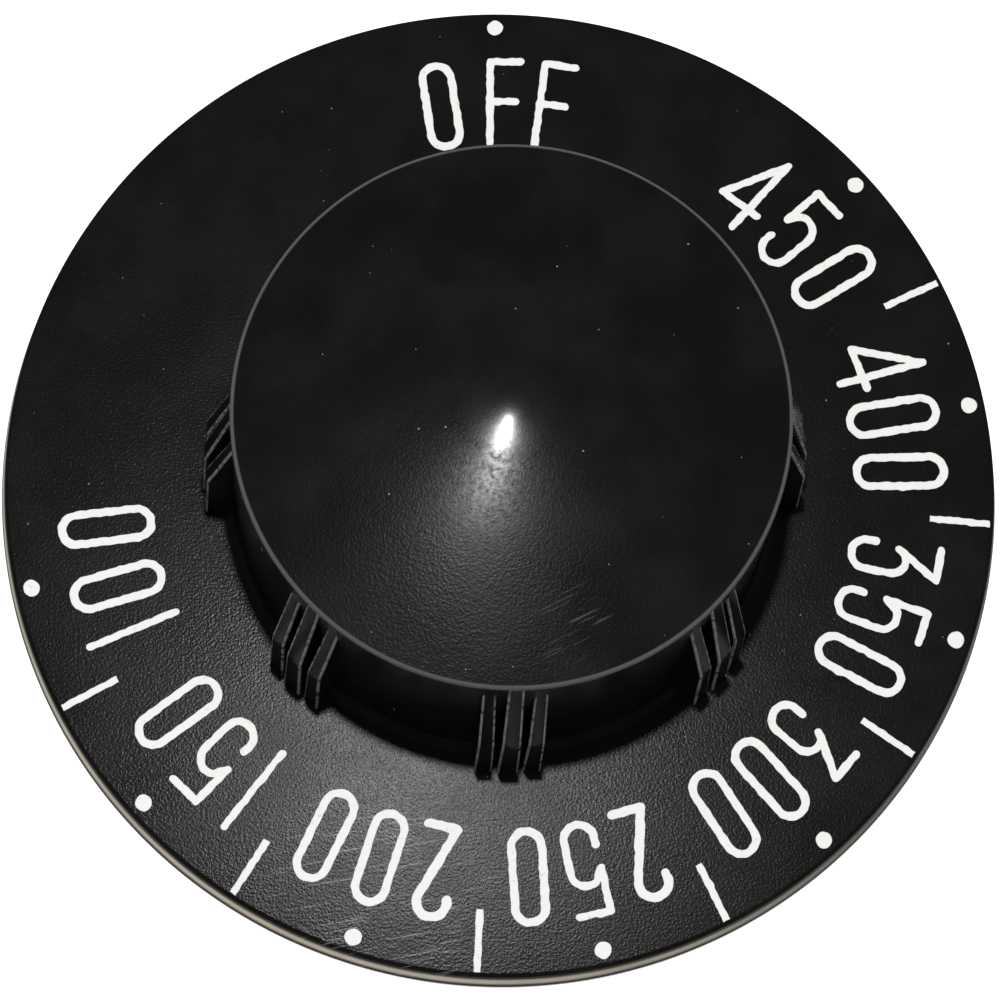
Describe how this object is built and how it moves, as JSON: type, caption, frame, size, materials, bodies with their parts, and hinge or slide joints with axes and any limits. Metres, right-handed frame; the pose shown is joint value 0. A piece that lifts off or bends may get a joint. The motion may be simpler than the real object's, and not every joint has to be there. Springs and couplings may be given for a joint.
{
  "type": "thermostat dial knob",
  "caption": "Round moulded dial knob with a wide marked skirt, a tall grip drum with groups of ribs, a low conical top and a D-shaped stem socket with a leaf spring.",
  "frame": {"origin": "centre of the skirt's back edge, on the stem's axis", "axes": "+Z out of the dial's face along the stem's axis, +Y towards the OFF mark"},
  "size_m": [0.0761, 0.0762, 0.0247],
  "materials": {
    "black_moulding": "moulded thermoset with a fine orange-peel surface, lightly worn",
    "spring_steel": "rolled strip",
    "white_paint": "paint wiped into the recesses"
  },
  "bodies": {
    "root": {"knob_body": "black_moulding", "stem_spring": "spring_steel", "dot_paint": "white_paint", "tick_paint": "white_paint"}
  },
  "joints": []
}
